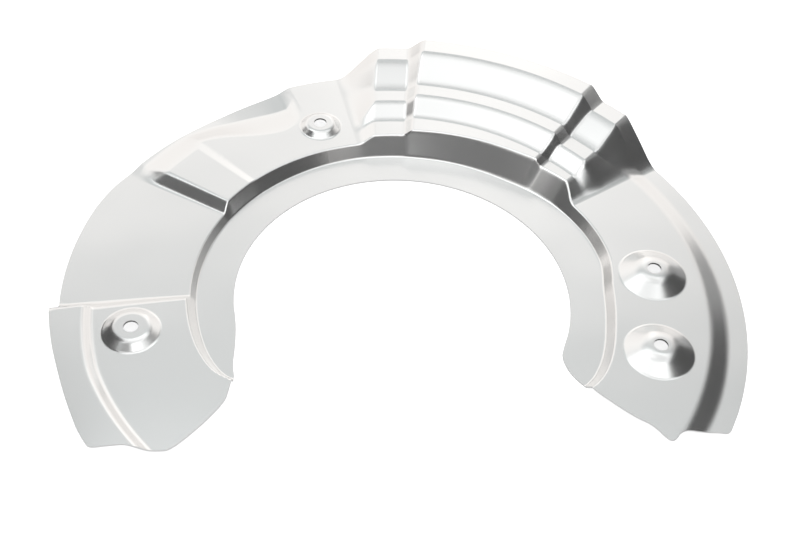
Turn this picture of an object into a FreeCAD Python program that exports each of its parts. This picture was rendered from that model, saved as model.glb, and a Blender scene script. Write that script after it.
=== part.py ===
import FreeCAD, Part
import math
import os

# Brake dust shield: one aluminium sheet pressed to several levels round a flat ring.
# Millimetres and degrees. The origin lies on the wheel axis at the ring's underside.
# Z points to the side the bosses stand on, angles run anticlockwise from +X.

SHEET = 1.0                  # thickness of the sheet
RING_TOP = SHEET             # upper face of the flat ring
RING_INNER_R = 84.5          # inner edge of the ring
RIM_R = 172.0                # rim of the right plate and of the raised block
NET_INNER_R = 76.0           # the pressed surface runs past the outline on every side
NET_OUTER_R = 190.0
SHEAR_INNER_R = 105.0        # radii at which a station's inner and outer angle hold
SHEAR_OUTER_R = 172.0
WALL_BEND = 1.5              # length of the rounding legs at the wall's foot and top
RADIAL_BEND = 3.6            # the same at the treads and risers
FLANK_BEND = 3.0             # the same round the circle, tight and soft
SOFT_BEND = 6.0
MEAN_R = 137.0               # radius at which bend lengths are turned to angles
FLATNESS = 1e-6              # a zone whose poles lie this level is made plane
ROW_CUTS = [0.0, 1.0, 5.0, 7.0, 10.0, 12.0, 15.0, 16.0]   # ring, wall, treads and risers in turn
COLUMN_STEP = 5.0            # widest angle between two columns of poles
OFFSET_PASSES = 40           # rounds in which a pole of the lower face settles
BLANK_BELOW = 10.0           # the blank's outline is cut from below the sheet to above it
BLANK_ABOVE = 50.0
RING_END_LEFT = 192.0        # angles between which the ring's inner edge is round
RING_END_RIGHT = -13.0

# Levels of the upper face
RIGHT_Z = 6.0
RIGHT_RIM_Z = 3.2
TEXT_Z = 4.5
LOWER_LEFT_Z = 7.4
LOWER_LEFT_RIM_Z = 11.0
PLATEAU_Z = 8.0
PANEL_Z = 8.5

# Plan width of the wall that climbs from the ring
WALL_LOW = 3.0
WALL_PLATE = 4.5
WALL_BLOCK = 6.0
WALL_BLOCK_RIGHT = 9.6

# Screw holes and the bosses round them
HOLE_R = 3.5
LEFT_HOLE = (134.7, 198.6)
UPPER_RIGHT_HOLE = (128.5, 10.2)
LOWER_RIGHT_HOLE = (129.0, -12.6)
TOP_HOLE = (127.3, 115.1)


class Section:
    """Radial section of the upper face: wall, three treads, two risers."""

    def __init__(self, run, heights, radii):
        self.run = run           # plan width of the wall at the ring
        self.heights = heights   # inner, middle and outer tread, then the rim
        self.radii = radii       # inner tread's end, middle tread's start and end, outer tread's start

    def blend(self, other, share):
        def mix(a, b):
            return a + (b - a) * share
        return Section(mix(self.run, other.run),
                       [mix(a, b) for a, b in zip(self.heights, other.heights)],
                       [mix(a, b) for a, b in zip(self.radii, other.radii)])


class Station:
    """A section set at an angle, which may differ between the wall and the rim."""

    def __init__(self, angle, section, outer_angle=None, bend=0.0):
        self.angle = angle
        self.outer_angle = angle if outer_angle is None else outer_angle
        self.section = section
        self.bend = math.degrees(bend / MEAN_R)

    def blend(self, other, share):
        station = Station(self.angle + (other.angle - self.angle) * share,
                          self.section.blend(other.section, share))
        station.outer_angle = self.outer_angle + (other.outer_angle - self.outer_angle) * share
        return station


def plate(run, level, rim_level, strip_start, strip_end):
    """Flat plate whose rim lies at another level, past a sloping strip."""
    return Section(run, [level, level, rim_level, rim_level], [122.0, 132.0, strip_start, strip_end])


def pocket(start, floor_start, floor, rim):
    """Plateau that falls to the shallow pocket along the rim."""
    return Section(WALL_PLATE, [PLATEAU_Z, PLATEAU_Z, floor, rim], [117.0, 122.0, start, floor_start])


RIGHT = plate(WALL_PLATE, RIGHT_Z, RIGHT_RIM_Z, 153.5, 162.3)
SHOULDER = Section(WALL_BLOCK, [12.3, 17.1, 24.2, 24.2], [121.7, 131.5, 142.8, 160.0])
TOP = Section(WALL_BLOCK, [15.9, 22.0, 31.2, 31.2], [121.0, 132.0, 143.0, 160.0])
TOP_RIGHT = Section(WALL_BLOCK_RIGHT, TOP.heights, TOP.radii)
SHOULDER_RIGHT = Section(WALL_BLOCK_RIGHT, SHOULDER.heights, [123.2] + SHOULDER.radii[1:])
PLATEAU = pocket(150.0, 160.0, PLATEAU_Z, PLATEAU_Z)
PANEL = plate(WALL_PLATE, PANEL_Z, 5.0, 148.5, 162.0)
TEXT = plate(WALL_LOW, TEXT_Z, TEXT_Z, 150.0, 160.0)
LOWER_LEFT = plate(WALL_PLATE, LOWER_LEFT_Z, LOWER_LEFT_RIM_Z, 152.4, 156.4)
LOWER_LEFT_MIDDLE = plate(WALL_PLATE, LOWER_LEFT_Z, LOWER_LEFT_RIM_Z, 154.4, 158.6)
LOWER_LEFT_END = plate(WALL_PLATE, LOWER_LEFT_Z, LOWER_LEFT_RIM_Z, 152.0, 156.2)

STATIONS = [
    Station(-46.0, RIGHT),
    Station(39.4, RIGHT, bend=SOFT_BEND),
    Station(43.7, SHOULDER_RIGHT, 47.6, FLANK_BEND),
    Station(52.8, SHOULDER_RIGHT, 53.2, FLANK_BEND),
    Station(54.6, TOP_RIGHT, 55.8, FLANK_BEND),
    Station(91.4, TOP, 90.0, FLANK_BEND),
    Station(93.4, SHOULDER, 92.7, FLANK_BEND),
    Station(102.4, SHOULDER, 98.8, FLANK_BEND),
    Station(106.2, PLATEAU, bend=SOFT_BEND),
    Station(112.5, PLATEAU),
    Station(117.4, pocket(141.5, 155.0, PLATEAU_Z, PLATEAU_Z), bend=2.0),
    Station(119.8, pocket(136.0, 150.0, 5.0, 6.8), bend=2.0),
    Station(123.0, pocket(132.5, 150.0, 4.4, 6.2)),
    Station(127.0, pocket(133.4, 152.0, 4.4, 5.6)),
    Station(132.0, pocket(139.0, 155.0, 4.2, 4.8)),
    Station(136.6, pocket(147.0, 159.0, 4.6, 4.6)),
    Station(141.4, pocket(152.0, 161.5, 5.0, 4.8), bend=1.5),
    Station(143.4, PANEL, bend=1.5),
    Station(152.9, PANEL, bend=FLANK_BEND),
    Station(155.9, TEXT, bend=FLANK_BEND),
    Station(188.6, TEXT, 190.2, FLANK_BEND),
    Station(190.6, LOWER_LEFT, 192.2, FLANK_BEND),
    Station(207.0, LOWER_LEFT_MIDDLE),
    Station(236.0, LOWER_LEFT_END),
]

# Radius of the wall's foot on the ring, by angle
WALL_FOOT = [(-46.0, 94.0), (-32.0, 101.0), (-27.0, 104.0), (-20.0, 104.5), (-8.0, 102.5), (0.0, 102.0), (8.0, 102.5),
             (18.0, 106.5), (30.0, 107.5), (44.0, 107.0), (62.0, 103.8), (90.0, 103.0), (208.0, 103.0),
             (216.0, 102.0), (220.0, 98.0), (236.0, 84.0)]


def along(table, angle):
    """Straight-line reading of a list of (angle, value) pairs."""
    for (a0, v0), (a1, v1) in zip(table, table[1:]):
        if angle <= a1:
            return v0 + (v1 - v0) * (angle - a0) / (a1 - a0)
    return table[-1][1]


def columns():
    """Stations of every column of poles, with rounding legs and fill between the named ones."""
    result = [STATIONS[0]]
    for before, after in zip(STATIONS, STATIONS[1:]):
        gap = after.angle - before.angle
        if before.bend + after.bend >= 0.9 * gap:
            shares = [0.5] if before.bend and after.bend else []
        else:
            free = gap - before.bend - after.bend
            pieces = max(1, math.ceil(free / COLUMN_STEP))
            shares = [(before.bend + free * i / pieces) / gap for i in range(pieces + 1)]
            shares = [s for s in shares if 0.01 < s < 0.99]
        result += [before.blend(after, share) for share in shares]
        result.append(after)
    return result


def section_poles(section, foot):
    """Poles (radius, height) of one radial section, corners given rounding legs."""
    inner, middle, outer, rim = section.heights
    r_inner, r_start, r_end, r_outer = section.radii
    slope = (rim - outer) / (RIM_R - r_outer)
    last = (NET_OUTER_R, outer + slope * (NET_OUTER_R - r_outer))
    wall = foot + section.run
    return [
        (NET_INNER_R, RING_TOP), (foot - WALL_BEND, RING_TOP), (foot, RING_TOP),
        (foot + section.run / 4, RING_TOP + (inner - RING_TOP) / 4),
        (wall - section.run / 4, inner - (inner - RING_TOP) / 4),
        (wall, inner), (wall + WALL_BEND, inner), (r_inner - RADIAL_BEND, inner), (r_inner, inner),
        ((r_inner + r_start) / 2, (inner + middle) / 2),
        (r_start, middle), (r_start + RADIAL_BEND, middle), (r_end - RADIAL_BEND, middle), (r_end, middle),
        ((r_end + r_outer) / 2, (middle + outer) / 2),
        (r_outer, outer), (r_outer + RADIAL_BEND, outer + slope * RADIAL_BEND), last,
    ]


def upper_net():
    """Rows of poles of the upper face, one row per place along the section."""
    net = []
    for station in columns():
        column = []
        for r, z in section_poles(station.section, along(WALL_FOOT, station.angle)):
            share = min(1.1, max(0.0, (r - SHEAR_INNER_R) / (SHEAR_OUTER_R - SHEAR_INNER_R)))
            angle = math.radians(station.angle + (station.outer_angle - station.angle) * share)
            column.append((r * math.cos(angle), r * math.sin(angle), z))
        net.append(column)
    return net


def zone_cuts():
    """Places along the columns where one zone of faces ends: both sides of every flank and bend."""
    result = [0.0]
    named = [station for station in STATIONS if station.bend]
    for index, station in enumerate(columns()):
        if station in named:
            result += [index - 1.0, float(index)]
    result.append(len(columns()) - 2.0)
    return sorted(set(result))


def leg_normals(net, i, j):
    """Unit normals of the quarters of the net that meet at a pole, the most level last."""
    here = FreeCAD.Vector(*net[i][j])
    normals = []
    for di in (-1, 1):
        for dj in (-1, 1):
            if not (0 <= i + di < len(net) and 0 <= j + dj < len(net[0])):
                continue
            across = (FreeCAD.Vector(*net[i + di][j]) - here) * di
            outward = (FreeCAD.Vector(*net[i][j + dj]) - here) * dj
            normal = outward.cross(across)
            normals.append(normal.normalize())
    return sorted(normals, key=lambda normal: normal.z)


def lower_net(net):
    """The same net one sheet thickness below, measured square to every quarter of the net."""
    lower = []
    for i, column in enumerate(net):
        moved = []
        for j, pole in enumerate(column):
            normals = leg_normals(net, i, j)
            step = FreeCAD.Vector(0, 0, 0)
            for normal in normals:
                step -= normal * (SHEET / len(normals))
            for _ in range(OFFSET_PASSES):
                for normal in normals:
                    step -= normal * (SHEET + step.dot(normal))
            moved.append(tuple(FreeCAD.Vector(*pole) + step))
        lower.append(moved)
    return lower


def knots(count):
    """Clamped uniform knots and multiplicities of a second-degree spline."""
    last = count - 2
    return [float(k) for k in range(last + 1)], [3] + [1] * (last - 1) + [3]


def net_surface(net):
    """Second-degree spline surface over a net of poles."""
    u_knots, u_mults = knots(len(net))
    v_knots, v_mults = knots(len(net[0]))
    poles = [[FreeCAD.Vector(*pole) for pole in column] for column in net]
    surface = Part.BSplineSurface()
    surface.buildFromPolesMultsKnots(poles, u_mults, v_mults, u_knots, v_knots, False, False, 2, 2)
    return surface


def spline_edge(points):
    """Second-degree spline edge over a list of poles."""
    edge_knots, edge_mults = knots(len(points))
    curve = Part.BSplineCurve()
    curve.buildFromPolesMultsKnots([FreeCAD.Vector(*p) for p in points], edge_mults, edge_knots, False, 2)
    return curve.toShape()


def zone_face(surface, zone):
    """Face over one zone of the net, plane where the zone is level."""
    u0, u1, v0, v1 = zone
    patch = surface.copy()
    patch.segment(u0, u1, v0, v1)
    heights = [pole.z for row in patch.getPoles() for pole in row]
    if max(heights) - min(heights) > FLATNESS:
        return patch.toShape()
    return Part.Face(Part.Wire(Part.__sortEdges__(patch.toShape().Edges)))


def border_face(upper, lower, u_range, v_range):
    """Narrow face that closes the sheet along one zone of its border."""
    edges = []
    for surface in (upper, lower):
        if u_range[0] == u_range[1]:
            line = surface.uIso(u_range[0])
            line.segment(*v_range)
        else:
            line = surface.vIso(v_range[0])
            line.segment(*u_range)
        edges.append(line.toShape())
    return Part.makeRuledSurface(*edges)


def pressed_sheet():
    """Solid between the upper net and the lower one."""
    net = upper_net()
    upper = net_surface(net)
    lower = net_surface(lower_net(net))
    cuts = zone_cuts()
    spans = list(zip(cuts, cuts[1:]))
    rows = list(zip(ROW_CUTS, ROW_CUTS[1:]))
    faces = []
    for span in spans:
        for row in rows:
            faces += [zone_face(surface, span + row) for surface in (upper, lower)]
        faces += [border_face(upper, lower, span, (end, end)) for end in (ROW_CUTS[0], ROW_CUTS[-1])]
    for row in rows:
        faces += [border_face(upper, lower, (end, end), row) for end in (cuts[0], cuts[-1])]
    shell = Part.makeShell(faces)
    shell.sewShape()
    solid = Part.makeSolid(shell)
    if solid.Volume < 0:
        solid.reverse()
    return solid


def polar(r, angle, z=0.0):
    return (r * math.cos(math.radians(angle)), r * math.sin(math.radians(angle)), z)


def arc(r, start, end):
    """Arc round the wheel axis."""
    points = [FreeCAD.Vector(*polar(r, a)) for a in (start, (start + end) / 2, end)]
    return Part.Arc(*points).toShape()


def curve(*points):
    """Rounded run of the outline over polar points."""
    return spline_edge([polar(*p) for p in points])


def outline():
    """Plan outline of the sheet, anticlockwise from the right end's outer corner."""
    return Part.Wire([
        arc(RIM_R, -20.5, 98.0),
        curve((RIM_R, 98.0), (RIM_R, 99.5), (168.8, 102.2), (165.4, 105.5), (165.4, 108.0)),
        arc(165.4, 108.0, 116.0),
        curve((165.4, 116.0), (165.4, 117.5), (163.4, 121.0), (163.2, 126.0), (163.4, 132.0),
              (164.0, 139.0), (165.0, 146.0), (165.8, 152.0), (165.6, 155.0), (167.6, 159.0),
              (168.6, 163.0), (168.8, 166.0)),
        arc(168.8, 166.0, 188.2),
        curve((168.8, 188.2), (168.8, 190.6), (169.8, 190.9), (172.4, 190.9), (172.4, 193.0)),
        curve((172.4, 193.0), (172.2, 198.0), (171.6, 204.0), (172.6, 211.5), (173.6, 216.5)),
        curve((173.6, 216.5), (174.2, 220.0), (173.0, 221.0), (169.0, 221.6)),
        curve((169.0, 221.6), (161.6, 223.0), (159.4, 223.8), (157.0, 225.0), (154.0, 225.7)),
        curve((154.0, 225.7), (149.0, 227.4), (146.0, 228.2), (137.0, 228.2), (126.0, 227.6)),
        curve((126.0, 227.6), (112.0, 226.4), (105.4, 223.6), (100.4, 220.8)),
        curve((100.4, 220.8), (97.0, 218.5), (94.6, 214.6), (89.9, 209.4), (86.6, 204.0),
              (RING_INNER_R, 197.5), (RING_INNER_R, RING_END_LEFT)),
        arc(RING_INNER_R, RING_END_LEFT, RING_END_RIGHT),
        curve((RING_INNER_R, RING_END_RIGHT), (RING_INNER_R, -18.0), (85.6, -22.0), (90.5, -25.5), (96.0, -27.6),
              (104.0, -28.8), (108.0, -30.4), (116.0, -30.8)),
        curve((116.0, -30.8), (130.0, -31.6), (140.0, -31.0), (149.5, -32.4), (152.6, -31.8),
              (152.4, -28.8), (157.0, -27.7)),
        curve((157.0, -27.7), (166.0, -25.4), (171.8, -24.8), (RIM_R, -23.0), (RIM_R, -20.5)),
    ])


def bend_points(corner, slope, radius, side):
    """Start, middle and end of the arc that rounds a corner between a level run and a falling one."""
    r, z = corner
    leg = radius * math.tan(slope / 2)
    rise = leg * math.sin(slope)
    run = leg * math.cos(slope)
    gap = radius / math.cos(slope / 2) - radius
    middle = (r - side * gap * math.sin(slope / 2), z - side * gap * math.cos(slope / 2))
    level_end = (r - side * leg, z)
    slope_end = (r + side * run, z - side * rise)
    points = (level_end, middle, slope_end) if side > 0 else (slope_end, middle, level_end)
    return [FreeCAD.Vector(x, 0, height) for x, height in points]


class Boss:
    """Round boss pressed up out of a flat plate, with a screw hole through its seat."""

    def __init__(self, hole, level, base_r, seat_r, rise, patch_r, seat_bend, base_bend):
        self.hole = hole
        self.level = level       # upper face of the plate round the boss
        self.base_r = base_r     # foot of the flank
        self.seat_r = seat_r     # edge of the flat seat
        self.rise = rise
        self.patch_r = patch_r   # the plate is replaced out to here
        self.seat_bend = seat_bend   # bend radius of the seat's edge
        self.base_bend = base_bend   # bend radius of the flank's foot

    def outline(self, lift, growth):
        """Edges of the upper or lower face's section from the hole outwards."""
        slope = math.atan2(self.rise, self.base_r - self.seat_r)
        shift = SHEET * math.tan(slope / 2) if lift else 0.0
        top = self.level + self.rise - lift
        seat = bend_points((self.seat_r - shift, top), slope, self.seat_bend - growth, 1)
        base = bend_points((self.base_r - shift, self.level - lift), slope, self.base_bend + growth, -1)
        start = FreeCAD.Vector(HOLE_R, 0, top)
        end = FreeCAD.Vector(self.patch_r, 0, self.level - lift)
        return [Part.makeLine(start, seat[0]), Part.Arc(*seat).toShape(), Part.makeLine(seat[2], base[0]),
                Part.Arc(*base).toShape(), Part.makeLine(base[2], end)], start, end

    def patch(self):
        """Solid of revolution that takes the place of the flat plate."""
        upper, upper_start, upper_end = self.outline(0.0, 0.0)
        lower, lower_start, lower_end = self.outline(SHEET, SHEET)
        ends = [Part.makeLine(upper_start, lower_start), Part.makeLine(upper_end, lower_end)]
        face = Part.Face(Part.Wire(Part.__sortEdges__(upper + lower + ends)))
        solid = face.revolve(FreeCAD.Vector(0, 0, 0), FreeCAD.Vector(0, 0, 1), 360)
        solid.translate(FreeCAD.Vector(*polar(*self.hole)))
        return solid

    def clear(self):
        """Cylinder that clears the plate for the patch, one sheet past both of its faces."""
        bottom = self.level - 2 * SHEET
        return Part.makeCylinder(self.patch_r, 3 * SHEET, FreeCAD.Vector(*polar(*self.hole, bottom)))


BOSSES = [
    Boss(UPPER_RIGHT_HOLE, RIGHT_Z, 17.2, 7.4, 5.4, 18.6, seat_bend=13.0, base_bend=3.0),
    Boss(LOWER_RIGHT_HOLE, RIGHT_Z, 17.2, 7.4, 5.4, 18.6, seat_bend=13.0, base_bend=3.0),
    Boss(LEFT_HOLE, LOWER_LEFT_Z, 14.0, 9.0, 3.2, 15.0, seat_bend=6.0, base_bend=3.0),
    Boss(TOP_HOLE, PLATEAU_Z, 11.4, 7.6, 2.9, 12.6, seat_bend=4.0, base_bend=2.5),
]


def shield():
    """The finished sheet, trimmed to its outline, with bosses and holes."""
    blank = Part.Face(outline()).extrude(FreeCAD.Vector(0, 0, BLANK_BELOW + BLANK_ABOVE))
    blank.translate(FreeCAD.Vector(0, 0, -BLANK_BELOW))
    sheet = pressed_sheet().common(blank)
    for boss in BOSSES:
        sheet = sheet.cut(boss.clear()).fuse(boss.patch())
    return sheet


os.makedirs("parts", exist_ok=True)
body = shield()
print("solids", len(body.Solids), "valid", body.isValid(), "box", body.optimalBoundingBox())
body.Solids[0].exportStep("parts/dust_shield.step")
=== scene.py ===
"""Brake dust shield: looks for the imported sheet, the studio round it and the camera."""

import logging
import math
from dataclasses import dataclass, field, replace
from enum import Enum

import bpy
import numpy as np
from mathutils import Matrix, Vector
from mathutils.bvhtree import BVHTree
from mathutils.geometry import delaunay_2d_cdt
from mathutils.kdtree import KDTree

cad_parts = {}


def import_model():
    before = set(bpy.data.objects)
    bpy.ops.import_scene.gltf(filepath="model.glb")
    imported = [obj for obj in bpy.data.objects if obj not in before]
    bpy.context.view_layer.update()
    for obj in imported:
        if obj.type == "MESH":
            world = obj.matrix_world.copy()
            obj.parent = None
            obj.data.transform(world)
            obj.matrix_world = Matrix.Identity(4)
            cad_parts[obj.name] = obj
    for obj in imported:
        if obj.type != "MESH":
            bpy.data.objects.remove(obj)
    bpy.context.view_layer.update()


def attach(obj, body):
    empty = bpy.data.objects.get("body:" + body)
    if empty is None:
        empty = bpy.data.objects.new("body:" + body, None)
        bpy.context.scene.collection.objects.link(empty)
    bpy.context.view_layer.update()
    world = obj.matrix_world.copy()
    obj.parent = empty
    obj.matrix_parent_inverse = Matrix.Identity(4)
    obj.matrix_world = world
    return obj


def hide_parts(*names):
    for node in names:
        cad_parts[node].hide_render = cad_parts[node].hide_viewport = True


log = logging.getLogger("dust_shield")

NODE = "dust_shield"             # the solid that the shown sheet stands for
NORMAL = "pressed_normal"        # attribute that carries the form's own normals
FACING = 0.6                     # a face this square to the form takes its normal, and a cut edge doesn't
MM = 0.001
INSET = 0.9999                   # keeps the skin just inside the solid's box
PHOTO_WIDTH = 800
SENSOR_WIDTH = 36.0
WHITE = (1.0, 1.0, 1.0, 1.0)
MIX_A, MIX_B, MIX_RESULT = 6, 7, 2   # colour sockets of a Mix node
HULL_TRIANGLES = 0               # the triangulation fills the whole hull

Operand = bpy.types.NodeSocket | float
Span = tuple[float, float]


class TreeBuilder:
    """Adds nodes to a node tree and links them by socket name."""

    PER_ROW = 8
    STEP_X = 200
    STEP_Y = -220

    def __init__(self, tree: bpy.types.NodeTree) -> None:
        """Keeps the tree that the nodes go into."""
        self.tree = tree
        self.count = 0

    def add(self, kind: str, inputs: dict | None = None, **settings: object) -> bpy.types.Node:
        """Adds one node.

        Args:
            kind: Blender's type name of the node.
            inputs: values by input name or index.
            settings: properties of the node itself.

        Returns:
            The new node.
        """
        node = self.tree.nodes.new(kind)
        row, place = divmod(self.count, self.PER_ROW)
        node.location = (self.STEP_X * place, self.STEP_Y * row)
        self.count += 1
        for name, value in settings.items():
            setattr(node, name, value)
        for name, value in (inputs or {}).items():
            node.inputs[name].default_value = value
        return node

    def join(self, source: bpy.types.NodeSocket, target: bpy.types.NodeSocket) -> None:
        """Links one socket to another."""
        self.tree.links.new(source, target)

    def math(self, operation: str, a: Operand, b: Operand | None = None) -> bpy.types.NodeSocket:
        """Adds a maths node over sockets or numbers.

        Args:
            operation: Blender's name of the operation.
            a: first socket or number.
            b: second socket or number, where the operation takes one.

        Returns:
            The result's socket.
        """
        node = self.add("ShaderNodeMath", operation=operation)
        for index, value in enumerate(v for v in (a, b) if v is not None):
            if isinstance(value, bpy.types.NodeSocket):
                self.join(value, node.inputs[index])
            else:
                node.inputs[index].default_value = value
        return node.outputs[0]


class ShaderGroups:
    """Shared shader effects, each built once as a node group."""

    def __init__(self) -> None:
        """Builds the groups."""
        self.grain = self._grain()
        self.waves = self._waves()

    @staticmethod
    def _start(name: str, values: dict[str, float], outputs: list[str]) -> TreeBuilder:
        """Makes an empty group with a vector input, number inputs and number outputs.

        Args:
            name: name of the group.
            values: number inputs and their defaults.
            outputs: names of the number outputs.

        Returns:
            The builder for the group's tree.
        """
        tree = bpy.data.node_groups.new(name, "ShaderNodeTree")
        tree.interface.new_socket("Vector", in_out="INPUT", socket_type="NodeSocketVector")
        for label, value in values.items():
            socket = tree.interface.new_socket(label, in_out="INPUT", socket_type="NodeSocketFloat")
            socket.default_value = value
        for label in outputs:
            tree.interface.new_socket(label, in_out="OUTPUT", socket_type="NodeSocketFloat")
        return TreeBuilder(tree)

    def _grain(self) -> bpy.types.NodeTree:
        """Fine lines that the rolling mill leaves along the sheet.

        Returns:
            The group, with a height and a mask.
        """
        build = self._start("rolling_grain", {"Lines per metre": 900.0, "Length": 0.02}, ["Height", "Mask"])
        entry = build.add("NodeGroupInput")
        leave = build.add("NodeGroupOutput")
        along = build.add("ShaderNodeCombineXYZ", {"Y": 1.0, "Z": 1.0})
        build.join(entry.outputs["Length"], along.inputs["X"])
        stretched = build.add("ShaderNodeVectorMath", operation="MULTIPLY")
        build.join(entry.outputs["Vector"], stretched.inputs[0])
        build.join(along.outputs[0], stretched.inputs[1])
        lines = build.add("ShaderNodeTexNoise", {"Detail": 3.0, "Roughness": 0.6})
        build.join(stretched.outputs[0], lines.inputs["Vector"])
        build.join(entry.outputs["Lines per metre"], lines.inputs["Scale"])
        build.join(lines.outputs["Fac"], leave.inputs["Height"])
        patches = build.add("ShaderNodeTexNoise", {"Scale": 14.0, "Detail": 2.0})
        build.join(entry.outputs["Vector"], patches.inputs["Vector"])
        build.join(build.math("MULTIPLY", lines.outputs["Fac"], patches.outputs["Fac"]), leave.inputs["Mask"])
        return build.tree

    def _waves(self) -> bpy.types.NodeTree:
        """Slow unevenness that pressing leaves in the flats.

        Returns:
            The group, with a height.
        """
        build = self._start("press_waves", {"Waves per metre": 16.0}, ["Height"])
        entry = build.add("NodeGroupInput")
        leave = build.add("NodeGroupOutput")
        waves = build.add("ShaderNodeTexNoise", {"Detail": 1.0, "Roughness": 0.4})
        build.join(entry.outputs["Vector"], waves.inputs["Vector"])
        build.join(entry.outputs["Waves per metre"], waves.inputs["Scale"])
        build.join(waves.outputs["Fac"], leave.inputs["Height"])
        return build.tree


@dataclass(frozen=True)
class SatinAluminium:
    """Bare rolled aluminium with a soft shine. Lengths in metres."""

    name: str = "satin_aluminium"
    tint: tuple[float, float, float, float] = (0.88, 0.88, 0.875, 1.0)
    roughness: float = 0.24
    roughness_spread: float = 0.03
    lines_per_metre: float = 900.0
    line_length: float = 0.02
    line_depth: float = 0.000002
    waves_per_metre: float = 16.0
    wave_depth: float = 0.0006

    def build(self, groups: ShaderGroups) -> bpy.types.Material:
        """Builds the material.

        Args:
            groups: the shared shader effects.

        Returns:
            The material.
        """
        material = bpy.data.materials.new(self.name)
        material.use_nodes = True
        material.node_tree.nodes.clear()
        build = TreeBuilder(material.node_tree)
        place = build.add("ShaderNodeTexCoord").outputs["Object"]
        grain = build.add("ShaderNodeGroup", node_tree=groups.grain)
        grain.inputs["Lines per metre"].default_value = self.lines_per_metre
        grain.inputs["Length"].default_value = self.line_length
        waves = build.add("ShaderNodeGroup", node_tree=groups.waves)
        waves.inputs["Waves per metre"].default_value = self.waves_per_metre
        for group in (grain, waves):
            build.join(place, group.inputs["Vector"])
        wave_bump = build.add("ShaderNodeBump", {"Strength": 1.0, "Distance": self.wave_depth})
        build.join(waves.outputs["Height"], wave_bump.inputs["Height"])
        line_bump = build.add("ShaderNodeBump", {"Strength": 1.0, "Distance": self.line_depth})
        build.join(grain.outputs["Height"], line_bump.inputs["Height"])
        build.join(wave_bump.outputs["Normal"], line_bump.inputs["Normal"])
        spread = build.math("MULTIPLY", grain.outputs["Mask"], self.roughness_spread)
        metal = build.add("ShaderNodeBsdfPrincipled", {"Base Color": self.tint, "Metallic": 1.0})
        build.join(build.math("ADD", spread, self.roughness), metal.inputs["Roughness"])
        build.join(line_bump.outputs["Normal"], metal.inputs["Normal"])
        build.join(metal.outputs["BSDF"], build.add("ShaderNodeOutputMaterial").inputs["Surface"])
        return material


def spline_weights(count: int, places: np.ndarray) -> tuple[np.ndarray, np.ndarray]:
    """Weights of the poles of a clamped second-degree spline.

    Args:
        count: number of poles.
        places: places along the spline, from 0 to count - 2.

    Returns:
        The weights and their slopes, one row per place.
    """
    knots = np.concatenate([[0, 0], np.arange(count - 1), [count - 2, count - 2]]).astype(float)
    span = np.clip(np.floor(places), 0, count - 3).astype(int)
    at = span + 2
    early = knots[at + 1] - places
    late = places - knots[at]
    wide_early = knots[at + 1] - knots[at - 1]
    wide_late = knots[at + 2] - knots[at]
    weights = np.zeros((len(places), count))
    slopes = np.zeros((len(places), count))
    rows = np.arange(len(places))
    weights[rows, span] = early * early / wide_early
    weights[rows, span + 2] = late * late / wide_late
    weights[rows, span + 1] = 1 - weights[rows, span] - weights[rows, span + 2]
    slopes[rows, span] = -2 * early / wide_early
    slopes[rows, span + 2] = 2 * late / wide_late
    slopes[rows, span + 1] = -slopes[rows, span] - slopes[rows, span + 2]
    return weights, slopes


def plan_points(radii: np.ndarray, angles: np.ndarray) -> np.ndarray:
    """Turns radii and angles in degrees to plan points."""
    return np.stack([radii * np.cos(np.radians(angles)), radii * np.sin(np.radians(angles))], axis=-1)


@dataclass(frozen=True)
class Section:
    """Radial section of the upper face: a wall, three treads and two risers. Millimetres."""

    run: float                   # plan width of the wall at the ring
    heights: tuple[float, ...]   # inner, middle and outer tread, then the rim
    radii: tuple[float, ...]     # inner tread's end, middle tread's start and end, outer tread's start

    def blend(self, other: "Section", share: float) -> "Section":
        """Gives the section a share of the way to another one.

        Args:
            other: the section at the far end.
            share: share of the way, from 0 to 1.

        Returns:
            The section between them.
        """
        def mix(here: tuple[float, ...], there: tuple[float, ...]) -> tuple[float, ...]:
            """Mixes two rows of values."""
            return tuple(x + (y - x) * share for x, y in zip(here, there))
        return Section(mix((self.run,), (other.run,))[0], mix(self.heights, other.heights),
                       mix(self.radii, other.radii))


@dataclass(frozen=True)
class Station:
    """A section set at an angle, which may differ between the wall and the rim."""

    angle: float
    section: Section
    outer_angle: float | None = None
    bend: float = 0.0

    def rim_angle(self) -> float:
        """Angle at the rim."""
        return self.angle if self.outer_angle is None else self.outer_angle

    def blend(self, other: "Station", share: float) -> "Station":
        """Gives the station a share of the way to another one."""
        return Station(self.angle + (other.angle - self.angle) * share,
                       self.section.blend(other.section, share),
                       self.rim_angle() + (other.rim_angle() - self.rim_angle()) * share)


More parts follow.
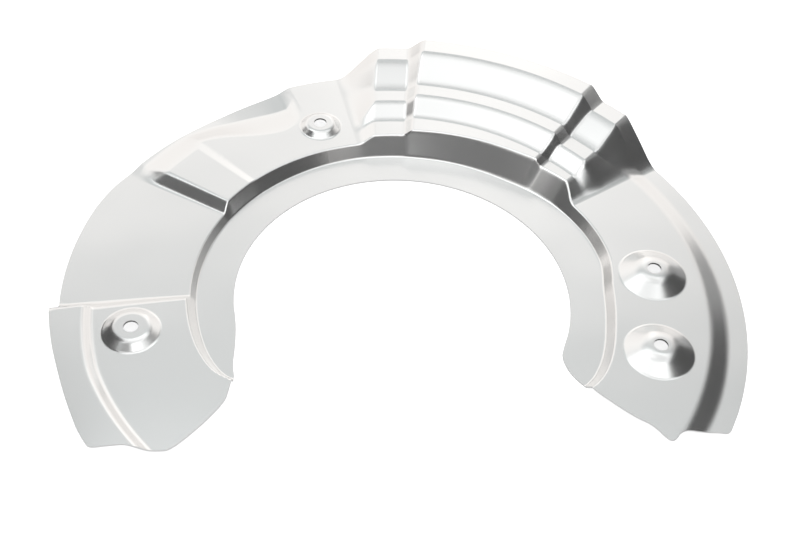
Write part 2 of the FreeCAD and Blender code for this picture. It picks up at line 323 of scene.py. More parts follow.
@dataclass(frozen=True)
class Boss:
    """Round boss pressed up out of a flat plate, with a hole through its seat. Millimetres."""

    place: Span                  # radius and angle of the hole
    level: float                 # the plate's upper face
    base_r: float
    seat_r: float
    rise: float
    patch_r: float               # flat plate that is drawn with the boss
    seat_bend: float
    base_bend: float
    hole_r: float = 3.5

    def centre(self) -> np.ndarray:
        """Plan place of the hole."""
        return plan_points(np.array(self.place[0]), np.array(self.place[1]))

    def corners(self) -> tuple[float, float, float, float, float]:
        """Gives the flank's slope and the radii at which the section changes.

        Returns:
            The slope, then the ends of the seat, its bend, the flank and the foot's bend.
        """
        slope = math.atan2(self.rise, self.base_r - self.seat_r)
        seat_leg = self.seat_bend * math.tan(slope / 2)
        base_leg = self.base_bend * math.tan(slope / 2)
        return (slope, self.seat_r - seat_leg, self.seat_r + seat_leg * math.cos(slope),
                self.base_r - base_leg * math.cos(slope), self.base_r + base_leg)

    def heights(self, radii: np.ndarray) -> tuple[np.ndarray, np.ndarray]:
        """Reads the boss's section.

        Args:
            radii: distances from the hole's axis.

        Returns:
            Heights and slopes of the upper face.
        """
        slope, seat_end, flank_start, flank_end, foot = self.corners()
        top = self.level + self.rise
        over = np.clip(radii - seat_end, 0, flank_start - seat_end)
        under = np.clip(foot - radii, 0, foot - flank_end)
        seat_root = np.sqrt(self.seat_bend ** 2 - over ** 2)
        base_root = np.sqrt(self.base_bend ** 2 - under ** 2)
        zones = [radii <= flank_start, radii <= flank_end]
        height = np.select(zones, [top - self.seat_bend + seat_root,
                                   top - (radii - self.seat_r) * math.tan(slope)],
                           self.level + self.base_bend - base_root)
        fall = np.select(zones, [-over / seat_root, np.full_like(radii, -math.tan(slope))],
                         -under / base_root)
        return height, fall

    def rings(self, across: int, around: int) -> tuple[np.ndarray, np.ndarray]:
        """Sets points of the upper face in rings, the hole's edge first.

        Args:
            across: rings per part of the section.
            around: points per ring.

        Returns:
            Points and normals.
        """
        stops = (self.hole_r, *self.corners()[1:], self.patch_r)
        radii = np.unique(np.concatenate([np.linspace(*pair, across) for pair in zip(stops, stops[1:])]))
        turns = np.linspace(0, 360, around, endpoint=False)
        height, fall = self.heights(radii)
        points, normals = [], []
        for radius, z, slope in zip(radii, height, fall):
            flat = plan_points(np.full(around, radius), turns)
            points.append(np.column_stack([flat + self.centre(), np.full(around, z)]))
            normals.append(np.column_stack([-slope * flat / radius, np.ones(around)]))
        return np.concatenate(points), np.concatenate(normals)


@dataclass(frozen=True)
class ShieldForm:
    """The rule of the pressed form: sections round the axis, the outline and the bosses. Millimetres."""

    ring_top: float = 1.0
    ring_inner_r: float = 84.5
    rim_r: float = 172.0
    net_r: Span = (76.0, 190.0)             # the net runs past the outline on both sides
    shear_r: Span = (105.0, 172.0)          # where a station's inner and outer angle hold
    shear_limit: float = 1.1                # share of the shear that is kept past the rim
    wall_bend: float = 1.5
    radial_bend: float = 3.6
    flank_bend: float = 3.0
    soft_bend: float = 6.0
    mean_r: float = 137.0
    column_step: float = 5.0                # widest angle between two columns of poles
    crowded: float = 0.9                    # legs that fill this share of a gap meet in its middle
    least_share: float = 0.01               # a column this near to a station is left out
    plate_tread: Span = (122.0, 132.0)      # plain stretches of the plates and of the pocket
    pocket_tread: Span = (117.0, 122.0)
    right_z: float = 6.0
    right_rim_z: float = 3.2
    left_plate_z: float = 4.5
    lower_left_z: float = 7.4
    lower_left_rim_z: float = 11.0
    plateau_z: float = 8.0
    panel_z: float = 8.5
    panel_rim_z: float = 5.0
    wall_low: float = 3.0
    wall_plate: float = 4.5
    wall_block: float = 6.0
    wall_block_right: float = 9.6
    wall_foot: tuple[Span, ...] = (         # angle and radius of the wall's foot
        (-46.0, 94.0), (-32.0, 101.0), (-27.0, 104.0), (-20.0, 104.5), (-8.0, 102.5), (0.0, 102.0),
        (8.0, 102.5), (18.0, 106.5), (30.0, 107.5), (44.0, 107.0), (62.0, 103.8), (90.0, 103.0),
        (208.0, 103.0), (216.0, 102.0), (220.0, 98.0), (236.0, 84.0),
    )

    def plate(self, run: float, level: float, rim: float, start: float, end: float) -> Section:
        """Flat plate whose rim lies at another level, past a sloping strip."""
        return Section(run, (level, level, rim, rim), (*self.plate_tread, start, end))

    def pocket(self, start: float, floor_start: float, floor: float, rim: float) -> Section:
        """Plateau that falls to the shallow pocket along the rim."""
        return Section(self.wall_plate, (self.plateau_z, self.plateau_z, floor, rim),
                       (*self.pocket_tread, start, floor_start))

    def stations(self) -> list[Station]:
        """Sets the sections round the axis, from the right end to the left one.

        Returns:
            The named stations in turn.
        """
        level, tight, soft = self.plateau_z, self.flank_bend, self.soft_bend
        right = self.plate(self.wall_plate, self.right_z, self.right_rim_z, 153.5, 162.3)
        shoulder = Section(self.wall_block, (12.3, 17.1, 24.2, 24.2), (121.7, 131.5, 142.8, 160.0))
        shoulder_right = Section(self.wall_block_right, shoulder.heights, (123.2,) + shoulder.radii[1:])
        top = Section(self.wall_block, (15.9, 22.0, 31.2, 31.2), (121.0, 132.0, 143.0, 160.0))
        top_right = Section(self.wall_block_right, top.heights, top.radii)
        plateau = self.pocket(150.0, 160.0, level, level)
        panel = self.plate(self.wall_plate, self.panel_z, self.panel_rim_z, 148.5, 162.0)
        left_plate = self.plate(self.wall_low, self.left_plate_z, self.left_plate_z, 150.0, 160.0)
        lower = (self.wall_plate, self.lower_left_z, self.lower_left_rim_z)
        return [
            Station(-46.0, right),
            Station(39.4, right, bend=soft),
            Station(43.7, shoulder_right, 47.6, tight),
            Station(52.8, shoulder_right, 53.2, tight),
            Station(54.6, top_right, 55.8, tight),
            Station(91.4, top, 90.0, tight),
            Station(93.4, shoulder, 92.7, tight),
            Station(102.4, shoulder, 98.8, tight),
            Station(106.2, plateau, bend=soft),
            Station(112.5, plateau),
            Station(117.4, self.pocket(141.5, 155.0, level, level), bend=2.0),
            Station(119.8, self.pocket(136.0, 150.0, 5.0, 6.8), bend=2.0),
            Station(123.0, self.pocket(132.5, 150.0, 4.4, 6.2)),
            Station(127.0, self.pocket(133.4, 152.0, 4.4, 5.6)),
            Station(132.0, self.pocket(139.0, 155.0, 4.2, 4.8)),
            Station(136.6, self.pocket(147.0, 159.0, 4.6, 4.6)),
            Station(141.4, self.pocket(152.0, 161.5, 5.0, 4.8), bend=1.5),
            Station(143.4, panel, bend=1.5),
            Station(152.9, panel, bend=tight),
            Station(155.9, left_plate, bend=tight),
            Station(188.6, left_plate, 190.2, tight),
            Station(190.6, self.plate(*lower, 152.4, 156.4), 192.2, tight),
            Station(207.0, self.plate(*lower, 154.4, 158.6)),
            Station(236.0, self.plate(*lower, 152.0, 156.2)),
        ]

    def bosses(self) -> list[Boss]:
        """Gives the four bosses.

        Returns:
            The upper right, lower right, left and top boss.
        """
        upper_right = Boss((128.5, 10.2), level=self.right_z, base_r=17.2, seat_r=7.4, rise=5.4,
                           patch_r=18.6, seat_bend=13.0, base_bend=3.0)
        lower_right = replace(upper_right, place=(129.0, -12.6))
        left = Boss((134.7, 198.6), level=self.lower_left_z, base_r=14.0, seat_r=9.0, rise=3.2,
                    patch_r=15.0, seat_bend=6.0, base_bend=3.0)
        top = Boss((127.3, 115.1), level=self.plateau_z, base_r=11.4, seat_r=7.6, rise=2.9,
                   patch_r=12.6, seat_bend=4.0, base_bend=2.5)
        return [upper_right, lower_right, left, top]

    def columns(self) -> list[Station]:
        """Adds rounding legs and fill between the named stations.

        Returns:
            One station per column of poles.
        """
        named = self.stations()
        result = [named[0]]
        for before, after in zip(named, named[1:]):
            gap = after.angle - before.angle
            legs = [math.degrees(station.bend / self.mean_r) for station in (before, after)]
            if sum(legs) >= self.crowded * gap:
                shares = [0.5] if all(legs) else []
            else:
                free = gap - sum(legs)
                pieces = max(1, math.ceil(free / self.column_step))
                shares = [(legs[0] + free * i / pieces) / gap for i in range(pieces + 1)]
                shares = [share for share in shares if self.least_share < share < 1 - self.least_share]
            result += [before.blend(after, share) for share in shares]
            result.append(after)
        return result

    def section_poles(self, section: Section, foot: float) -> np.ndarray:
        """Gives the poles of one radial section, its corners with rounding legs.

        Args:
            section: the section.
            foot: radius of the wall's foot.

        Returns:
            Rows of radius and height.
        """
        inner, middle, outer, rim = section.heights
        r_inner, r_start, r_end, r_outer = section.radii
        slope = (rim - outer) / (self.rim_r - r_outer)
        wall, low, bend = foot + section.run, self.ring_top, self.radial_bend
        return np.array([
            (self.net_r[0], low), (foot - self.wall_bend, low), (foot, low),
            (foot + section.run / 4, low + (inner - low) / 4),
            (wall - section.run / 4, inner - (inner - low) / 4),
            (wall, inner), (wall + self.wall_bend, inner), (r_inner - bend, inner), (r_inner, inner),
            ((r_inner + r_start) / 2, (inner + middle) / 2),
            (r_start, middle), (r_start + bend, middle), (r_end - bend, middle), (r_end, middle),
            ((r_end + r_outer) / 2, (middle + outer) / 2),
            (r_outer, outer), (r_outer + bend, outer + slope * bend),
            (self.net_r[1], outer + slope * (self.net_r[1] - r_outer)),
        ])

    def net(self) -> np.ndarray:
        """Gives the poles of the upper face.

        Returns:
            Points by column and row.
        """
        foot_angles, foot_radii = zip(*self.wall_foot)
        near, far = self.shear_r
        net = []
        for station in self.columns():
            foot = float(np.interp(station.angle, foot_angles, foot_radii))
            poles = self.section_poles(station.section, foot)
            share = np.clip((poles[:, 0] - near) / (far - near), 0.0, self.shear_limit)
            angles = station.angle + (station.rim_angle() - station.angle) * share
            net.append(np.column_stack([plan_points(poles[:, 0], angles), poles[:, 1]]))
        return np.array(net)

    def surface(self, steps: int) -> tuple[np.ndarray, np.ndarray]:
        """Reads the upper face on a grid.

        Args:
            steps: points per span of the net, both ways.

        Returns:
            Points and normals by column and row.
        """
        net = self.net()
        columns, rows = net.shape[:2]
        along, along_slope = spline_weights(columns, np.linspace(0, columns - 2, (columns - 2) * steps + 1))
        across, across_slope = spline_weights(rows, np.linspace(0, rows - 2, (rows - 2) * steps + 1))
        points = np.einsum("ui,vj,ijk->uvk", along, across, net, optimize=True)
        round_axis = np.einsum("ui,vj,ijk->uvk", along_slope, across, net, optimize=True)
        outward = np.einsum("ui,vj,ijk->uvk", along, across_slope, net, optimize=True)
        return points, np.cross(outward, round_axis)

    def outline(self, step: float) -> np.ndarray:
        """Walks round the plan outline, anticlockwise from the right end's outer corner.

        Args:
            step: distance between points.

        Returns:
            Plan points, the last one not repeating the first.
        """
        rim, ring = self.rim_r, self.ring_inner_r
        runs = [
            [(rim, -20.5), (rim, 98.0)],
            [(rim, 98.0), (rim, 99.5), (168.8, 102.2), (165.4, 105.5), (165.4, 108.0)],
            [(165.4, 108.0), (165.4, 116.0)],
            [(165.4, 116.0), (165.4, 117.5), (163.4, 121.0), (163.2, 126.0), (163.4, 132.0), (164.0, 139.0),
             (165.0, 146.0), (165.8, 152.0), (165.6, 155.0), (167.6, 159.0), (168.6, 163.0), (168.8, 166.0)],
            [(168.8, 166.0), (168.8, 188.2)],
            [(168.8, 188.2), (168.8, 190.6), (169.8, 190.9), (172.4, 190.9), (172.4, 193.0)],
            [(172.4, 193.0), (172.2, 198.0), (171.6, 204.0), (172.6, 211.5), (173.6, 216.5)],
            [(173.6, 216.5), (174.2, 220.0), (173.0, 221.0), (169.0, 221.6)],
            [(169.0, 221.6), (161.6, 223.0), (159.4, 223.8), (157.0, 225.0), (154.0, 225.7)],
            [(154.0, 225.7), (149.0, 227.4), (146.0, 228.2), (137.0, 228.2), (126.0, 227.6)],
            [(126.0, 227.6), (112.0, 226.4), (105.4, 223.6), (100.4, 220.8)],
            [(100.4, 220.8), (97.0, 218.5), (94.6, 214.6), (89.9, 209.4), (86.6, 204.0), (ring, 197.5),
             (ring, 192.0)],
            [(ring, 192.0), (ring, -13.0)],
            [(ring, -13.0), (ring, -18.0), (85.6, -22.0), (90.5, -25.5), (96.0, -27.6), (104.0, -28.8),
             (108.0, -30.4), (116.0, -30.8)],
            [(116.0, -30.8), (130.0, -31.6), (140.0, -31.0), (149.5, -32.4), (152.6, -31.8), (152.4, -28.8),
             (157.0, -27.7)],
            [(157.0, -27.7), (166.0, -25.4), (171.8, -24.8), (rim, -23.0), (rim, -20.5)],
        ]
        points = []
        for run in runs:
            radii, angles = np.array(run).T
            corners = plan_points(radii, angles)
            if len(run) == 2:
                count = math.ceil(abs(math.radians(angles[1] - angles[0])) * radii[0] / step)
                walk = plan_points(np.full(count + 1, radii[0]), np.linspace(*angles, count + 1))
            else:
                length = np.linalg.norm(np.diff(corners, axis=0), axis=1).sum()
                places = np.linspace(0, len(run) - 2, math.ceil(length / step) + 1)
                walk = spline_weights(len(run), places)[0] @ corners
            points.append(walk[:-1])
        return np.concatenate(points)


def inside(points: np.ndarray, loop: np.ndarray) -> np.ndarray:
    """Tells which plan points lie inside a closed loop.

    Args:
        points: the points.
        loop: the loop's corners in turn.

    Returns:
        A truth value per point.
    """
    result = np.zeros(len(points), dtype=bool)
    x, y = points.T
    for (x0, y0), (x1, y1) in zip(loop, np.roll(loop, -1, axis=0)):
        if y0 != y1:
            result ^= ((y0 > y) != (y1 > y)) & (x < x0 + (y - y0) * (x1 - x0) / (y1 - y0))
    return result


@dataclass
class PressedSheet:
    """The one pressed sheet: a fine skin over the form, given its thickness by geometry nodes."""

    form: ShieldForm = field(default_factory=ShieldForm)
    finish: SatinAluminium = field(default_factory=SatinAluminium)
    thickness: float = 0.001                # metres, as is the merge distance
    merge_distance: float = 0.000002
    crease_angle: float = math.radians(40.0)
    outline_step: float = 0.9               # millimetres, as are the next three
    clearance: float = 0.45
    probe_height: float = 100.0
    plan_weld: float = 1e-6
    grid_steps: int = 4                     # points per span of the net, for the skin and for the probe
    probe_steps: int = 8
    boss_rings: int = 6
    boss_points: int = 72

    def _probe(self) -> BVHTree:
        """Makes a fine copy of the form that heights are read from.

        Returns:
            The search tree.
        """
        points, _ = self.form.surface(self.probe_steps)
        columns, rows = points.shape[:2]
        corner = np.arange(columns * rows).reshape(columns, rows)
        quads = np.stack([corner[:-1, :-1], corner[:-1, 1:], corner[1:, 1:], corner[1:, :-1]], axis=-1)
        return BVHTree.FromPolygons(points.reshape(-1, 3).tolist(), quads.reshape(-1, 4).tolist())

    def _skin_points(self) -> tuple[np.ndarray, np.ndarray, list[tuple[int, int]], np.ndarray]:
        """Sets the points of the upper face: the outline, the bosses and a grid between them.

        Returns:
            Points, normals, the edges that must be kept and the plan outline.
        """
        loop = self.form.outline(self.outline_step)
        probe = self._probe()
        down = Vector((0.0, 0.0, -1.0))
        hits = [probe.ray_cast(Vector((x, y, self.probe_height)), down) for x, y in loop]
        points = [np.array([hit[0] for hit in hits])]
        normals = [np.array([hit[1] if hit[1].z > 0 else -hit[1] for hit in hits])]
        count = len(loop)
        edges = [(i, (i + 1) % count) for i in range(count)]
        grid, grid_normals = (values.reshape(-1, 3) for values in self.form.surface(self.grid_steps))
        keep = inside(grid[:, :2], loop)
        tree = KDTree(len(loop))
        for index, (x, y) in enumerate(loop):
            tree.insert((x, y, 0.0), index)
        tree.balance()
        for index in np.flatnonzero(keep):
            keep[index] = tree.find((*grid[index, :2], 0.0))[2] > self.clearance
        for boss in self.form.bosses():
            keep &= np.linalg.norm(grid[:, :2] - boss.centre(), axis=1) > boss.patch_r + self.clearance
            ring_points, ring_normals = boss.rings(self.boss_rings, self.boss_points)
            edges += [(count + i, count + (i + 1) % self.boss_points) for i in range(self.boss_points)]
            count += len(ring_points)
            points.append(ring_points)
            normals.append(ring_normals)
        return (np.concatenate([*points, grid[keep]]), np.concatenate([*normals, grid_normals[keep]]),
                edges, loop)

    def _skin(self) -> bpy.types.Mesh:
        """Joins the points of the upper face to a mesh that carries its normals.

        Returns:
            The mesh.
        """
        points, normals, edges, loop = self._skin_points()
        flat = [Vector(point[:2]) for point in points]
        _, _, faces, origins, _, _ = delaunay_2d_cdt(flat, edges, [], HULL_TRIANGLES, self.plan_weld)
        source = np.array([origin[0] for origin in origins])
        points, normals = points[source], normals[source]
        faces = np.array([face for face in faces if len(face) == 3])
        middles = points[faces].mean(axis=1)[:, :2]
        keep = inside(middles, loop)
        for boss in self.form.bosses():
            keep &= np.linalg.norm(middles - boss.centre(), axis=1) > boss.hole_r
        mesh = bpy.data.meshes.new("skin")
        mesh.from_pydata((points * MM * INSET).tolist(), [], faces[keep].tolist())
        normals = normals / np.linalg.norm(normals, axis=1)[:, None]
        mesh.attributes.new(NORMAL, "FLOAT_VECTOR", "POINT").data.foreach_set("vector", normals.ravel())
        return mesh

    def _tree(self) -> bpy.types.NodeTree:
        """Geometry nodes that give the skin its thickness, weld it, mark its cut edges and dress it.

        Returns:
            The tree, with named inputs for its sizes and its material.
        """
        tree = bpy.data.node_groups.new("press_sheet", "GeometryNodeTree")
        tree.interface.new_socket("Geometry", in_out="INPUT", socket_type="NodeSocketGeometry")
        for name in ("Thickness", "Merge Distance", "Crease Angle"):
            tree.interface.new_socket(name, in_out="INPUT", socket_type="NodeSocketFloat")
        tree.interface.new_socket("Finish", in_out="INPUT", socket_type="NodeSocketMaterial")
        tree.interface.new_socket("Geometry", in_out="OUTPUT", socket_type="NodeSocketGeometry")
        build = TreeBuilder(tree)
        entry = build.add("NodeGroupInput")
        square = build.add("GeometryNodeInputNamedAttribute", {"Name": NORMAL}, data_type="FLOAT_VECTOR")
        down = build.add("ShaderNodeVectorMath", operation="SCALE")
        build.join(square.outputs["Attribute"], down.inputs[0])
        build.join(build.math("MULTIPLY", entry.outputs["Thickness"], -1.0), down.inputs["Scale"])
        sink = build.add("GeometryNodeExtrudeMesh", {"Offset Scale": 1.0, "Individual": False}, mode="FACES")
        build.join(entry.outputs["Geometry"], sink.inputs["Mesh"])
        build.join(down.outputs[0], sink.inputs["Offset"])
        turned = build.add("GeometryNodeFlipFaces")
        build.join(sink.outputs["Mesh"], turned.inputs["Mesh"])
        both = build.add("GeometryNodeJoinGeometry")
        build.join(turned.outputs["Mesh"], both.inputs["Geometry"])
        build.join(entry.outputs["Geometry"], both.inputs["Geometry"])
        weld = build.add("GeometryNodeMergeByDistance")
        build.join(both.outputs["Geometry"], weld.inputs["Geometry"])
        build.join(entry.outputs["Merge Distance"], weld.inputs["Distance"])
        angle = build.add("GeometryNodeInputMeshEdgeAngle")
        crease = build.add("FunctionNodeCompare", data_type="FLOAT", operation="GREATER_THAN")
        build.join(angle.outputs["Unsigned Angle"], crease.inputs["A"])
        build.join(entry.outputs["Crease Angle"], crease.inputs["B"])
        smooth = build.add("GeometryNodeSetShadeSmooth", domain="FACE")
        build.join(weld.outputs["Geometry"], smooth.inputs["Geometry"])
        mark = build.add("GeometryNodeStoreNamedAttribute", {"Name": "sharp_edge"}, data_type="BOOLEAN",
                         domain="EDGE")
        build.join(smooth.outputs["Geometry"], mark.inputs["Geometry"])
        build.join(crease.outputs["Result"], mark.inputs["Value"])
        real = build.add("GeometryNodeRealizeInstances")
        build.join(mark.outputs["Geometry"], real.inputs["Geometry"])
        dress = build.add("GeometryNodeSetMaterial")
        build.join(real.outputs["Geometry"], dress.inputs["Geometry"])
        build.join(entry.outputs["Finish"], dress.inputs["Material"])
        build.join(dress.outputs["Geometry"], build.add("NodeGroupOutput").inputs["Geometry"])
        return tree

    def _shade(self, mesh: bpy.types.Mesh) -> None:
        """Gives both faces the form's own normals; the cut edge keeps its flat ones.

        Args:
            mesh: the sheet with its thickness.
        """
        stored = mesh.attributes[NORMAL]
        square = np.empty(3 * len(mesh.vertices))
        stored.data.foreach_get("vector", square)
        square = square.reshape(-1, 3)
        corners = np.empty(len(mesh.loops), dtype=np.int64)
        mesh.loops.foreach_get("vertex_index", corners)
        sizes = np.empty(len(mesh.polygons), dtype=np.int64)
        mesh.polygons.foreach_get("loop_total", sizes)
        flat = np.empty(3 * len(mesh.polygons))
        mesh.polygons.foreach_get("normal", flat)
        flat = np.repeat(flat.reshape(-1, 3), sizes, axis=0)
        own = square[corners]
        facing = np.sum(flat * own, axis=1)
        normals = np.where(facing[:, None] > FACING, own, np.where(facing[:, None] < -FACING, -own, flat))
        mesh.attributes.remove(stored)
        mesh.normals_split_custom_set(normals)

    def build(self, groups: ShaderGroups) -> bpy.types.Object:
        """Makes the shown sheet.

        Args:
            groups: the shared shader effects.

        Returns:
            The finished piece.
        """
        piece = bpy.data.objects.new("pressed_sheet", self._skin())
        bpy.context.collection.objects.link(piece)
        tree = self._tree()
        values = {"Thickness": self.thickness, "Merge Distance": self.merge_distance,
                  "Crease Angle": self.crease_angle, "Finish": self.finish.build(groups)}
        pressing = piece.modifiers.new("press_sheet", "NODES")
        pressing.node_group = tree
        for item in tree.interface.items_tree:
            if item.in_out == "INPUT" and item.name in values:
                pressing[item.identifier] = values[item.name]
        graph = bpy.context.evaluated_depsgraph_get()
        shown = bpy.data.meshes.new_from_object(piece.evaluated_get(graph))
        piece.modifiers.clear()
        piece.data = shown
        self._shade(shown)
        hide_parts(NODE)
        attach(piece, "root")
        return piece


class CardTone(Enum):
    """How light a studio card is."""

    DARK = 0.1
    GREY = 0.23
    PALE = 0.46


@dataclass(frozen=True)
class Card:
    """A flat card that the metal mirrors, set up beside the object. Metres."""

    name: str
    corners: tuple[tuple[float, float, float], ...]
    tone: CardTone = CardTone.DARK

    def build(self) -> bpy.types.Object:
        """Makes the card, out of the camera's sight and seen only in the metal.

        Returns:
            The card.
        """
        mesh = bpy.data.meshes.new(self.name)
        mesh.from_pydata(self.corners, [], [(0, 1, 2, 3)])
        card = bpy.data.objects.new(self.name, mesh)
        bpy.context.collection.objects.link(card)
        material = bpy.data.materials.new(self.name)
        material.use_nodes = True
        shader = material.node_tree.nodes["Principled BSDF"]
        grey = self.tone.value
        shader.inputs["Base Color"].default_value = (grey, grey, grey, 1.0)
        shader.inputs["Roughness"].default_value = 1.0
        shader.inputs["Specular IOR Level"].default_value = 0.0
        mesh.materials.append(material)
        card.visible_camera = False
        card.visible_shadow = False
        card.visible_diffuse = False
        return card


@dataclass(frozen=True)
class Softbox:
    """A soft light hanging level over the object. Metres."""

    name: str
    place: tuple[float, float, float]
    size: Span
    radiance: float = 3.2

    def build(self) -> bpy.types.Object:
        """Hangs the light.

        Returns:
            The lamp.
        """
        lamp = bpy.data.lights.new(self.name, "AREA")
        lamp.shape = "RECTANGLE"
        lamp.size, lamp.size_y = self.size
        lamp.energy = self.radiance * self.size[0] * self.size[1]
        holder = bpy.data.objects.new(self.name, lamp)
        holder.location = self.place
        bpy.context.collection.objects.link(holder)
        return holder


@dataclass
class Studio:
    """Pale floor, soft overhead lights, dark cards and a white surround."""

    floor_size: float = 6.0
    floor_tone: float = 0.85
    floor_glow: float = 0.86
    surround: float = 0.55
    # The sweep that the metal mirrors: colours by the upward part of the direction.
    sweep: tuple[tuple[float, tuple[float, float, float, float]], ...] = (
        (0.0, (0.98, 0.94, 0.91, 1.0)),
        (0.58, (1.10, 1.08, 1.06, 1.0)),
        (0.67, (1.0, 0.995, 0.985, 1.0)),
        (0.73, (0.80, 0.80, 0.795, 1.0)),
        (0.79, (0.50, 0.53, 0.535, 1.0)),
        (0.84, (0.44, 0.48, 0.485, 1.0)),
        (0.89, (0.98, 1.0, 1.0, 1.0)),
        (0.95, (0.12, 0.13, 0.13, 1.0)),
    )
    # It dims by a share to the right and upwards, and glows behind the raised block.
    side_x: Span = (0.15, 0.62)
    side_z: Span = (0.42, 0.68)
    side_loss: float = 0.76
    glow_left: Span = (-0.07, 0.01)
    glow_right: Span = (0.10, 0.18)
    glow_back: Span = (0.66, 0.75)
    glow_gain: float = 0.22
    softboxes: tuple[Softbox, ...] = (
        Softbox("front_softbox", (0.20, -0.52, 0.95), (1.0, 0.44)),
        Softbox("left_softbox", (-0.58, -0.02, 0.95), (0.44, 0.86), 2.6),
        Softbox("top_softbox", (0.15, 0.08, 0.95), (1.02, 0.76), 2.3),
        Softbox("strip_softbox", (-0.18, 0.11, 0.92), (0.60, 0.30), 1.05),
    )
    cards: tuple[Card, ...] = (
        Card("right_card", ((0.34, -0.32, 0.0), (0.34, 0.19, 0.0), (0.34, 0.19, 0.30),
                            (0.34, -0.32, 0.42))),
        Card("right_back_card", ((0.34, 0.19, 0.0), (0.34, 0.34, 0.0), (0.34, 0.34, 0.20),
                                 (0.34, 0.19, 0.30)), CardTone.PALE),
        Card("left_boss_card", ((-0.23, -0.22, 0.20), (-0.12, -0.22, 0.20), (-0.12, -0.11, 0.20),
                                (-0.23, -0.11, 0.20)), CardTone.PALE),
        Card("left_card", ((-0.36, -0.10, 0.0), (-0.36, 0.12, 0.0), (-0.25, 0.12, 0.40),
                           (-0.25, -0.10, 0.40))),
        Card("left_back_card", ((-0.36, 0.15, 0.06), (-0.36, 0.25, 0.06), (-0.36, 0.25, 0.25),
                                (-0.36, 0.15, 0.25)), CardTone.GREY),
        Card("front_left_card", ((-0.36, -0.10, 0.0), (-0.9, -0.9, 0.0), (-0.9, -0.9, 0.5),
                                 (-0.30, -0.10, 0.40)), CardTone.GREY),
        Card("front_card", ((-0.9, -0.9, 0.0), (2.0, -0.9, 0.0), (2.0, -0.9, 0.2),
                            (-0.9, -0.9, 1.0)), CardTone.GREY),
    )

    def build(self) -> None:
        """Builds everything round the object."""
        self._floor()
        self._world()
        for item in (*self.softboxes, *self.cards):
            item.build()

    def _floor(self) -> None:
        """Lays the floor under the sheet, white to the camera but for the soft shadow."""
        half = self.floor_size / 2
        mesh = bpy.data.meshes.new("floor")
        mesh.from_pydata([(-half, -half, 0), (half, -half, 0), (half, half, 0), (-half, half, 0)], [],
                         [(0, 1, 2, 3)])
        floor = bpy.data.objects.new("floor", mesh)
        bpy.context.collection.objects.link(floor)
        material = bpy.data.materials.new("floor")
        material.use_nodes = True
        material.node_tree.nodes.clear()
        build = TreeBuilder(material.node_tree)
        tone = (self.floor_tone, self.floor_tone, self.floor_tone, 1.0)
        matt = build.add("ShaderNodeBsdfDiffuse", {"Color": tone})
        glow = build.add("ShaderNodeEmission", {"Color": WHITE})
        seen = build.add("ShaderNodeLightPath").outputs["Is Camera Ray"]
        build.join(build.math("MULTIPLY", seen, self.floor_glow), glow.inputs["Strength"])
        both = build.add("ShaderNodeAddShader")
        build.join(matt.outputs[0], both.inputs[0])
        build.join(glow.outputs[0], both.inputs[1])
        build.join(both.outputs[0], build.add("ShaderNodeOutputMaterial").inputs["Surface"])
        mesh.materials.append(material)

    @staticmethod
    def _rise(build: TreeBuilder, value: bpy.types.NodeSocket, span: Span) -> bpy.types.NodeSocket:
        """Adds a smooth rise from nought to one between two values.

        Args:
            build: builder of the tree.
            value: the socket that is read.
            span: where the rise starts and ends.

        Returns:
            The result's socket.
        """
        rise = build.add("ShaderNodeMapRange", {"From Min": span[0], "From Max": span[1]},
                         interpolation_type="SMOOTHSTEP")
        build.join(value, rise.inputs["Value"])
        return rise.outputs["Result"]

    def _world(self) -> None:
        """Sets the surround: white to the eye, a pale sweep in the metal, softer as a light."""
        world = bpy.data.worlds.new("surround")
        bpy.context.scene.world = world
        world.use_nodes = True
        world.node_tree.nodes.clear()
        build = TreeBuilder(world.node_tree)
        path = build.add("ShaderNodeLightPath")
        split = build.add("ShaderNodeSeparateXYZ")
        build.join(build.add("ShaderNodeTexCoord").outputs["Generated"], split.inputs[0])
        ramp = build.add("ShaderNodeValToRGB")
        build.join(split.outputs["Z"], ramp.inputs[0])
        aside = self._rise(build, split.outputs["X"], self.side_x)
        high = self._rise(build, split.outputs["Z"], self.side_z)
        loss = build.math("MULTIPLY", build.math("MULTIPLY", aside, high), self.side_loss)
        dimmed = build.add("ShaderNodeVectorMath", operation="SCALE")
        build.join(ramp.outputs["Color"], dimmed.inputs[0])
        glow = build.math("SUBTRACT", self._rise(build, split.outputs["X"], self.glow_left),
                          self._rise(build, split.outputs["X"], self.glow_right))
        glow = build.math("MULTIPLY", glow, self._rise(build, split.outputs["Y"], self.glow_back))
        gain = build.math("ADD", 1.0, build.math("MULTIPLY", glow, self.glow_gain))
        scale = build.math("MULTIPLY", build.math("SUBTRACT", 1.0, loss), gain)
        build.join(scale, dimmed.inputs["Scale"])
        stops = ramp.color_ramp.elements
        while len(stops) < len(self.sweep):
            stops.new(1.0)
        for stop, (place, colour) in zip(stops, self.sweep):
            stop.position = place
            stop.color = colour
        pick = build.add("ShaderNodeMix", data_type="RGBA")
        pick.inputs[MIX_A].default_value = WHITE
        build.join(path.outputs["Is Glossy Ray"], pick.inputs[0])
        build.join(dimmed.outputs[0], pick.inputs[MIX_B])
        seen = build.math("MAXIMUM", path.outputs["Is Camera Ray"], path.outputs["Is Transmission Ray"])
        seen = build.math("MAXIMUM", seen, path.outputs["Is Glossy Ray"])
        back = build.add("ShaderNodeBackground")
        build.join(pick.outputs[MIX_RESULT], back.inputs["Color"])
        build.join(build.math("MAXIMUM", seen, self.surround), back.inputs["Strength"])
        build.join(back.outputs[0], build.add("ShaderNodeOutputWorld").inputs["Surface"])


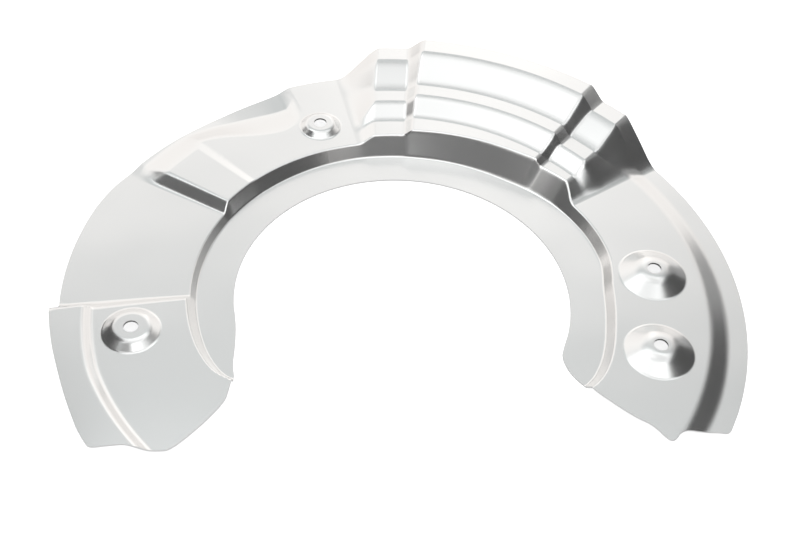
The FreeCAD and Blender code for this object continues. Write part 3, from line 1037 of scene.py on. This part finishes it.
@dataclass
class PhotoCamera:
    """Camera at the photograph's place, with its tilt and focal length in pixels. Metres."""

    back: float = 0.425
    height: float = 0.473
    yaw: float = math.radians(-0.35)
    pitch: float = math.radians(46.75)
    roll: float = math.radians(4.4)
    focal_pixels: float = 1262.0

    def build(self) -> bpy.types.Object:
        """Makes the camera and hands it to the scene.

        Returns:
            The camera.
        """
        ahead = Vector((math.sin(self.yaw) * math.cos(self.pitch),
                        math.cos(self.yaw) * math.cos(self.pitch), -math.sin(self.pitch)))
        level = Vector((math.cos(self.yaw), -math.sin(self.yaw), 0.0))
        upright = level.cross(ahead)
        right = math.cos(self.roll) * level + math.sin(self.roll) * upright
        up = math.cos(self.roll) * upright - math.sin(self.roll) * level
        data = bpy.data.cameras.new("photo_camera")
        data.sensor_fit = "HORIZONTAL"
        data.sensor_width = SENSOR_WIDTH
        data.lens = self.focal_pixels * SENSOR_WIDTH / PHOTO_WIDTH
        camera = bpy.data.objects.new("photo_camera", data)
        turn = Matrix((right, up, -ahead)).transposed().to_4x4()
        camera.matrix_world = Matrix.Translation((0.0, -self.back, self.height)) @ turn
        bpy.context.collection.objects.link(camera)
        bpy.context.scene.camera = camera
        return camera


def main() -> None:
    """Builds the sheet, the studio and the camera in turn."""
    logging.basicConfig(level=logging.INFO, format="%(name)s: %(message)s")
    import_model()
    bpy.context.scene.view_settings.view_transform = "Standard"
    groups = ShaderGroups()
    sheet = PressedSheet().build(groups)
    log.info("%s: %d faces", sheet.name, len(sheet.data.polygons))
    studio = Studio()
    studio.build()
    log.info("studio: %d lights, %d cards", len(studio.softboxes), len(studio.cards))
    camera = PhotoCamera().build()
    log.info("%s: lens %.1f mm", camera.name, camera.data.lens)


if __name__ == "__main__":
    main()
